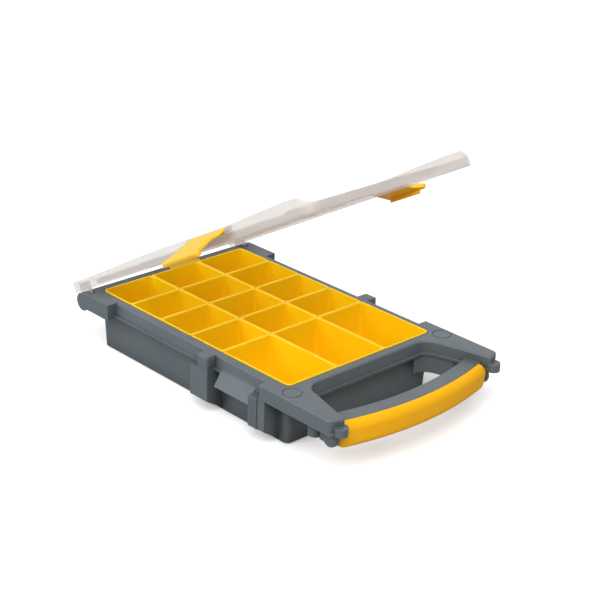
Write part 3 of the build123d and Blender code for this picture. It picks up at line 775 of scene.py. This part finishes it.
def holedSlab(outline, hole, centre, levels, put, corners):
    # Flat slab between an outline and a hole, both met by the same rays from the hole's middle,
    # some of which run to the outline's sharp corners
    exact = [math.atan2(b - centre[1], a - centre[0]) % (2 * math.pi) for a, b in corners]
    angles = np.sort(np.concatenate([2 * np.pi * np.arange(rays["count"]) / rays["count"], exact]))
    outer, inner = (edgeFrom(test, centre, angles) for test in (outline, hole))
    rings = [(outer, levels[0]), (inner, levels[0]), (inner, levels[1]), (outer, levels[1])]
    grid = [put(centre[0] + reach * np.cos(angles), centre[1] + reach * np.sin(angles), level)
            for reach, level in rings]
    return shellOf(np.stack(grid), closed=True)


def roundBox(a, b, lowA, highA, halfB, corner):
    # True inside a rectangle with round corners
    overA = np.maximum(np.abs(a - (lowA + highA) / 2) - (highA - lowA) / 2 + corner, 0)
    overB = np.maximum(np.abs(b) - halfB + corner, 0)
    return overA ** 2 + overB ** 2 < corner ** 2


def lidWall():
    # Rounded strip stood on the lid's outline: out along the near side, round the front and back
    # along the far side
    s, steps = lid, lid["steps"]
    centreU, centreV = s["reach"] - s["corner"], s["half"] - s["corner"]
    side = np.concatenate([np.linspace(-s["tail"], s["sideBreak"][0], steps["side"][0]),
                           np.linspace(s["sideBreak"][1], centreU, steps["side"][1])])[:-1]
    front = np.linspace(-centreV, centreV, steps["front"])[1:-1]
    turn = np.linspace(-np.pi / 2, 0, steps["corner"])
    cos, sin = np.cos(turn), np.sin(turn)
    cosBack, sinBack = np.cos(turn[::-1]), np.sin(turn[::-1])
    alongSide, alongFront = np.ones(len(side)), np.ones(len(front))
    u = np.concatenate([side, centreU + s["corner"] * cos, alongFront * s["reach"],
                        centreU + s["corner"] * cosBack, side[::-1]])
    v = np.concatenate([alongSide * -s["half"], -centreV + s["corner"] * sin, front,
                        centreV - s["corner"] * sinBack, alongSide * s["half"]])
    outU = np.concatenate([0 * alongSide, cos, alongFront, cosBack, 0 * alongSide])
    outV = np.concatenate([-alongSide, sin, 0 * alongFront, -sinBack, alongSide])
    knots, smooth = np.array(s["railTop"]), s["railSmooth"]
    rise = np.interp(u, knots[:, 0], knots[:, 1])
    rise = np.convolve(np.pad(rise, smooth // 2, "edge"), np.ones(smooth) / smooth, "valid")
    top = np.minimum(rise, s["frontTop"] + (s["reach"] - u) * s["frontSlope"])
    across, upward = boxSection(steps["wall"], s["wallPowers"])
    inward = s["wall"] / 2 * (1 + across)
    height = s["foot"] + (top - s["foot"])[:, None] * (1 + upward) / 2
    u, v, outU, outV = (part[:, None] for part in (u, v, outU, outV))
    return shellOf(onLid(u - outU * inward, v - outV * inward, height))


def openingRim():
    # Strip round the hand opening: the rounded box's outline with an upright section of its own
    s, steps = lid, lid["steps"]
    u0, u1, half, corner = s["hole"]
    low, high = s["rim"]
    turn, signU, signV = fourCorners(steps["rimCorner"])
    across, upward = boxSection(steps["rim"], s["rimPowers"])
    radius = corner + (s["rimWall"] * (1 + across) / 2 - s["rimSunk"])
    u = ((u0 + u1) / 2 + signU * ((u1 - u0) / 2 - corner))[:, None] + radius * np.cos(turn)[:, None]
    v = (signV * (half - corner))[:, None] + radius * np.sin(turn)[:, None]
    return shellOf(onLid(u, v, low + (high - low) * (1 + upward) / 2), closed=True)


def lidDivider(start, end):
    # Tapered strip under the plate, with a rounded foot, drawn in at both ends
    s = lid
    (u0, v0), (u1, v1) = start, end
    length = math.hypot(u1 - u0, v1 - v0)
    sideU, sideV = -(v1 - v0) / length, (u1 - u0) / length
    share, swell = (np.array(s[key])[:, None] for key in ("dividerShares", "dividerSwell"))
    halves, drops = np.array(s["dividerWidths"]) / 2, np.array(s["dividerDrops"])
    aside = np.concatenate([halves, -halves[::-1]]) * swell
    drop = np.concatenate([drops, drops[::-1]])
    u, v = u0 + (u1 - u0) * share + sideU * aside, v0 + (v1 - v0) * share + sideV * aside
    return shellOf(onLid(u, v, s["plate"][0] - drop))


def earShell(side):
    # Hinge ear: a round eye, with a neck that widens on the way up to the plate
    s = lid
    neck, foot, top = s["earNeck"], s["foot"], s["plate"][1] - s["earSunk"]

    def outline(a, b):
        within = (np.abs(a) < np.interp(b, (0, foot), (s["ear"], neck))) & (b > 0) & (b < top)
        return (a ** 2 + b ** 2 < s["ear"] ** 2) | within

    return holedSlab(outline, lambda a, b: a ** 2 + b ** 2 < s["pinBore"] ** 2, (0.0, 0.0),
                     (s["earInside"], s["half"]), lambda a, b, level: onLid(a, side * level, b),
                     [(neck, foot), (-neck, foot), (neck, top), (-neck, top)])


def lugShell(side, u):
    # Latch lug: a round eye on a short arm out of the rail
    s, pinV, pinW = lid, latch["aside"], latch["above"]
    radius, root = s["lugRadius"], s["half"] - s["lugSunk"]

    def outline(a, b):
        arm = (np.abs(b - pinW) < radius) & (a < pinV) & (a > root)
        return ((a - pinV) ** 2 + (b - pinW) ** 2 < radius ** 2) | arm

    return holedSlab(outline, lambda a, b: (a - pinV) ** 2 + (b - pinW) ** 2 < s["lugBore"] ** 2,
                     (pinV, pinW), (u - s["lugHalf"], u + s["lugHalf"]),
                     lambda a, b, level: onLid(level, side * a, b),
                     [(root, pinW - radius), (root, pinW + radius)])


def lidRailShells():
    # Wall round the lid, rim of its opening, strips under its plate, hinge ears at its tail and the
    # lugs that hold the latches
    s, past = lid, lid["dividerPast"]
    (firstU, lastU), (firstV, lastV) = (
        (s[key][0] - past, s[key][-1] + past) for key in ("rows", "columns"))
    shells = [lidWall(), openingRim()]
    shells += [lidDivider((u, firstV), (u, lastV)) for u in s["rows"]]
    shells += [lidDivider((firstU, v), (lastU, v)) for v in s["columns"]]
    for side in (-1, 1):
        shells += [earShell(side)] + [lugShell(side, u) for u in s["lugs"]]
    return shells


def lidPlateShells():
    # Flat plate with round corners at the front and square ones at the tail, and its hand opening
    s = lid
    inset = s["wall"] / 2
    u0, u1, half, corner = s["hole"]
    lowU, highU, halfV = -s["tail"] + s["plateTail"], s["reach"] - inset, s["half"] - inset

    def outline(a, b):
        ahead = np.maximum(a, s["squareBelow"])
        return roundBox(ahead, b, s["backEnd"], highU, halfV, s["corner"] - inset) & (a > lowU)

    return [holedSlab(outline, lambda a, b: roundBox(a, b, u0, u1, half, corner),
                      ((u0 + u1) / 2, 0.0), s["plate"], onLid, [(lowU, -halfV), (lowU, halfV)])]


makePiece("lidRails", lidRailShells(), "lidMilky", "lid", "lid", lid["sharp"])
makePiece("lidPlate", lidPlateShells(), "lidClear", "lid", "lid", lid["sharp"])
print("lid ready")

# Fine upright beads on the ribs beside the catches
bead = {
    "places": (108.4, 111.4, 114.4),
    "face": 112.0,
    "low": 16.5,
    "high": 44.5,
    "radius": 0.5,
    "power": 8,
    "tip": 0.02,
    "steps": (17, 12),
}


def beadShell(x, side):
    # Circle carried up the rib's face, drawn in to a point at both ends
    s, (up, around) = bead, bead["steps"]
    turn = 2 * np.pi * np.arange(around) / around
    rise, turn = np.meshgrid(np.linspace(0, 1, up), turn, indexing="ij")
    radius = s["radius"] * np.sqrt(np.clip(1 - np.abs(2 * rise - 1) ** s["power"], s["tip"], 1))
    return shellOf(np.stack([x + radius * np.cos(turn), side * s["face"] + radius * np.sin(turn),
                             s["low"] + (s["high"] - s["low"]) * rise], -1))


beads = [beadShell(x, side) for side in (-1, 1) for x in bead["places"]]
makePiece("ribBeads", beads, "caseGrey", "base")

# Rounded heads of the two brackets
head = {
    "x": (33.4, 48.6),
    "aside": 106.4,
    "level": 54.6,
    "half": (6.7, 6.6),
    "powers": (0.32, 0.32),
    "endPower": 9,
    "endShare": 0.12,
    "endSoft": 0.35,
    "steps": (25, 40),
}


def headShell(side):
    # Rounded square section carried along x, drawn in at both ends
    s = head
    step = np.linspace(0, np.pi, s["steps"][0])[:, None]
    across, upward = boxSection(s["steps"][1], s["powers"])
    swell = np.clip(1 - np.abs(np.cos(step)) ** s["endPower"], s["endShare"], 1) ** s["endSoft"]
    x = s["x"][0] + (s["x"][1] - s["x"][0]) * (1 - np.cos(step)) / 2
    y = side * (s["aside"] + s["half"][0] * across * swell)
    z = s["level"] + s["half"][1] * upward * swell
    return shellOf(np.stack(np.broadcast_arrays(x, y, z), -1))


makePiece("bracketHeads", [headShell(side) for side in (-1, 1)], "caseGrey", "base")
print("ribs and brackets ready")

# Square lamps that face the object; places and sizes in metres, power in watts
lights = {
    "key": {"place": (-1.2, -3.0, 1.9), "size": 2.2, "power": 52},
    "front": {"place": (1.7, -1.9, 2.9), "size": 2.2, "power": 96},
    "top": {"place": (0.2, 0.3, 3.3), "size": 3.0, "power": 22},
}

# White world: its strength as light, and where it is seen as the background or in gloss
studio = {"light": 0.36, "seen": 1.0}


def makeLights():
    for name, light in lights.items():
        data = bpy.data.lights.new(name, "AREA")
        data.shape = "SQUARE"
        data.size = light["size"]
        data.energy = light["power"]
        lamp = bpy.data.objects.new(name, data)
        lamp.location = light["place"]
        lamp.rotation_mode = "QUATERNION"
        lamp.rotation_quaternion = (-Vector(light["place"])).to_track_quat("-Z", "Y")
        scene.collection.objects.link(lamp)
    world = bpy.data.worlds.new("studio")
    world.use_nodes = True
    tree = world.node_tree
    background = tree.nodes["Background"]
    background.inputs["Color"].default_value = (1, 1, 1, 1)
    path = addNode(tree, "ShaderNodeLightPath").outputs
    seen = mathOf(tree, "MAXIMUM", path["Is Camera Ray"], path["Is Transmission Ray"])
    seen = mathOf(tree, "MAXIMUM", seen, path["Is Glossy Ray"])
    strength = rangeOf(tree, seen, 0.0, 1.0, studio["light"], studio["seen"])
    tree.links.new(strength, background.inputs["Strength"])
    scene.world = world


# Pale floor, half a side in metres. The camera sees it paler than it lights the object, and filled
# up to white further off, where the lamps fade: from one distance and strength to another
ground = {
    "half": 6.0,
    "colour": (0.42, 0.42, 0.42),
    "seen": (0.93, 0.93, 0.93),
    "distance": (0.5, 3.0),
    "fill": (0.3, 1.0),
    "roughness": 0.7,
}


def makeFloor():
    x, y = np.meshgrid([-ground["half"], ground["half"]], [-ground["half"], ground["half"]])
    points = np.stack([x.ravel(), y.ravel(), np.zeros(4)], 1)
    mesh = bpy.data.meshes.new("floor")
    mesh.from_pydata(points.tolist(), [], [(0, 1, 3, 2)])
    floor = bpy.data.objects.new("floor", mesh)
    scene.collection.objects.link(floor)
    material, tree, shader, coords = startMaterial("paleFloor")
    seen = addNode(tree, "ShaderNodeLightPath").outputs["Is Camera Ray"]
    tree.links.new(blendOf(tree, seen, ground["colour"], ground["seen"]), shader.inputs["Base Color"])
    away = addNode(tree, "ShaderNodeVectorMath", {"operation": "LENGTH"}, links={0: coords})
    fill = rangeOf(tree, away.outputs["Value"], *ground["distance"], *ground["fill"])
    shader.inputs["Emission Color"].default_value = (1, 1, 1, 1)
    tree.links.new(mathOf(tree, "MULTIPLY", seen, fill), shader.inputs["Emission Strength"])
    shader.inputs["Roughness"].default_value = ground["roughness"]
    floor.data.materials.append(material)


makeLights()
makeFloor()
scene.view_settings.view_transform = "Standard"
print("light and floor ready")
